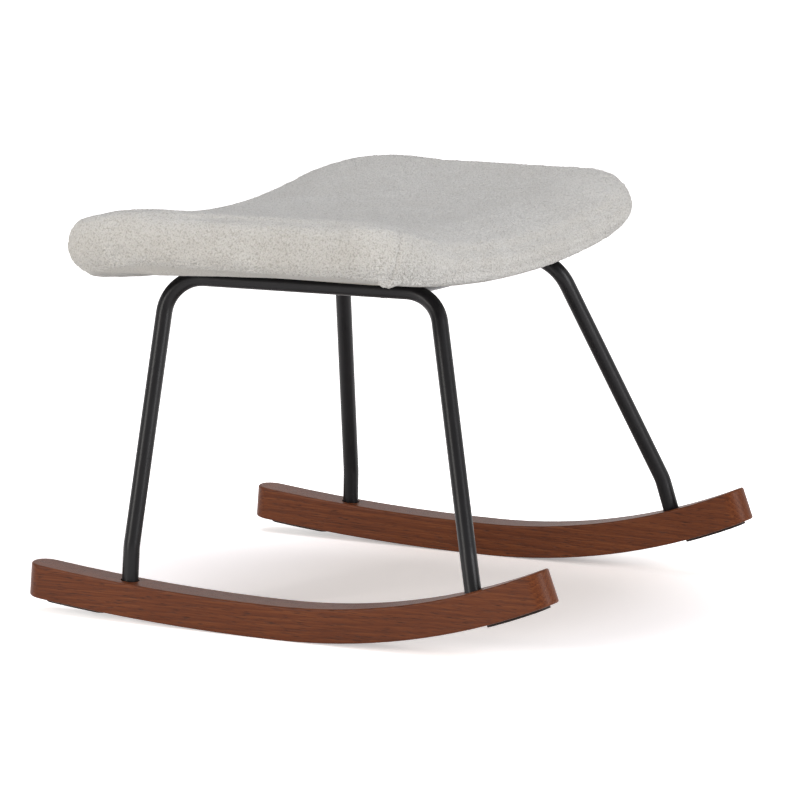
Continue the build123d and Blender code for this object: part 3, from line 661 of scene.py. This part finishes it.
POOL_CENTRE, POOL_SCALE = (0.0, -0.02, 0.0), (0.72, 1.3, 1.0)  # of the shadow that the glow leaves
POOL_START, POOL_END = 0.13, 0.55
POOL_GLOW = 0.045             # inside the shadow
FLOOR_TINT = (1.24, 1.16, 1.13, 1.0)  # past one, since the lamps are set for the seat
PLAIN_FLOOR = (0.8, 0.8, 0.8, 1.0)
WHITE = (1.0, 1.0, 1.0, 1.0)
SKY_LIGHT = 0.25              # of the white room on the stool


def rays_seen(tree):
    """One for the rays that show a surface to the camera, and zero for those that light others."""
    rays = node(tree, "LightPath")
    seen = node(tree, "Math", {0: rays.outputs["Is Camera Ray"], 1: rays.outputs["Is Glossy Ray"]},
                operation="MAXIMUM")
    seen = node(tree, "Math", {0: seen.outputs[0], 1: rays.outputs["Is Transmission Ray"]}, operation="MAXIMUM")
    return seen.outputs[0]


bpy.ops.object.select_all(action="DESELECT")
bpy.ops.mesh.primitive_plane_add(size=60)
floor = bpy.context.object
floor.name = "studio_floor"
floor_paint = bpy.data.materials.new("studio_floor_paint")
floor_paint.use_nodes = True
tree = floor_paint.node_tree
tree.nodes.remove(tree.nodes["Principled BSDF"])
place = node(tree, "TexCoord").outputs["Object"]
pool = node(tree, "Mapping", {"Vector": place, "Location": POOL_CENTRE, "Scale": POOL_SCALE})
away = node(tree, "VectorMath", {0: pool.outputs["Vector"]}, operation="LENGTH").outputs["Value"]
glow = node(tree, "MapRange", {"Value": away, "From Min": POOL_START, "From Max": POOL_END,
                               "To Min": POOL_GLOW, "To Max": 1.0}, interpolation_type="SMOOTHSTEP")
shadowed = node(tree, "BsdfDiffuse", {"Color": FLOOR_TINT})
lit = node(tree, "Emission", {"Color": WHITE, "Strength": glow.outputs["Result"]})
shown = node(tree, "AddShader", {0: shadowed.outputs[0], 1: lit.outputs[0]})
plain = node(tree, "BsdfDiffuse", {"Color": PLAIN_FLOOR})
both = node(tree, "MixShader", {0: rays_seen(tree), 1: plain.outputs[0], 2: shown.outputs[0]})
tree.links.new(both.outputs[0], tree.nodes["Material Output"].inputs["Surface"])
floor.data.materials.append(floor_paint)

world = bpy.data.worlds.new("studio")
bpy.context.scene.world = world
world.use_nodes = True
tree = world.node_tree
strength = node(tree, "MapRange", {"Value": rays_seen(tree), "To Min": SKY_LIGHT, "To Max": 1.0})
tree.links.new(strength.outputs["Result"], tree.nodes["Background"].inputs["Strength"])
tree.nodes["Background"].inputs["Color"].default_value = WHITE

LAMP_TARGET = Vector((0, 0, 0.3))


def soft_lamp(name, azimuth, height, distance, size, power, tint):
    """Rectangular lamp that faces the seat. Azimuth is in degrees from -Y towards +X."""
    lamp = bpy.data.lights.new(name, "AREA")
    lamp.shape = "RECTANGLE"
    lamp.size, lamp.size_y = size
    lamp.energy = power
    lamp.color = colour(tint)[:3]
    holder = bpy.data.objects.new(name, lamp)
    bpy.context.scene.collection.objects.link(holder)
    at = Vector((sin(radians(azimuth)) * distance, -cos(radians(azimuth)) * distance, height))
    holder.location = at
    holder.rotation_euler = (LAMP_TARGET - at).to_track_quat("-Z", "Y").to_euler()
    holder.visible_camera = False


soft_lamp("left_lamp", azimuth=-26, height=1.05, distance=3.2, size=(1.0, 2.0), power=56, tint="#FFFCF7")
soft_lamp("right_lamp", azimuth=80, height=1.05, distance=3.2, size=(1.4, 2.0), power=74, tint="#FCFDFF")
soft_lamp("top_lamp", azimuth=-76, height=2.4, distance=0.54, size=(1.3, 1.3), power=17.6, tint="#E8F0FF")

CAMERA_AT = (2.11209, -4.11925, 0.97708)
YAW, PITCH, ROLL = 0.473328, 0.167580, 0.002121  # in radians, to the left, down and anticlockwise
SENSOR_WIDTH, LENS = 36, 215.164

camera = bpy.data.objects.new("camera", bpy.data.cameras.new("camera"))
bpy.context.scene.collection.objects.link(camera)
camera.data.sensor_width = SENSOR_WIDTH
camera.data.lens = LENS
camera.data.clip_end = 100
camera.matrix_world = (Matrix.Translation(CAMERA_AT) @ Matrix.Rotation(YAW, 4, "Z")
                       @ Matrix.Rotation(pi / 2 - PITCH, 4, "X") @ Matrix.Rotation(ROLL, 4, "Z"))
bpy.context.scene.camera = camera
bpy.context.scene.view_settings.view_transform = "Standard"
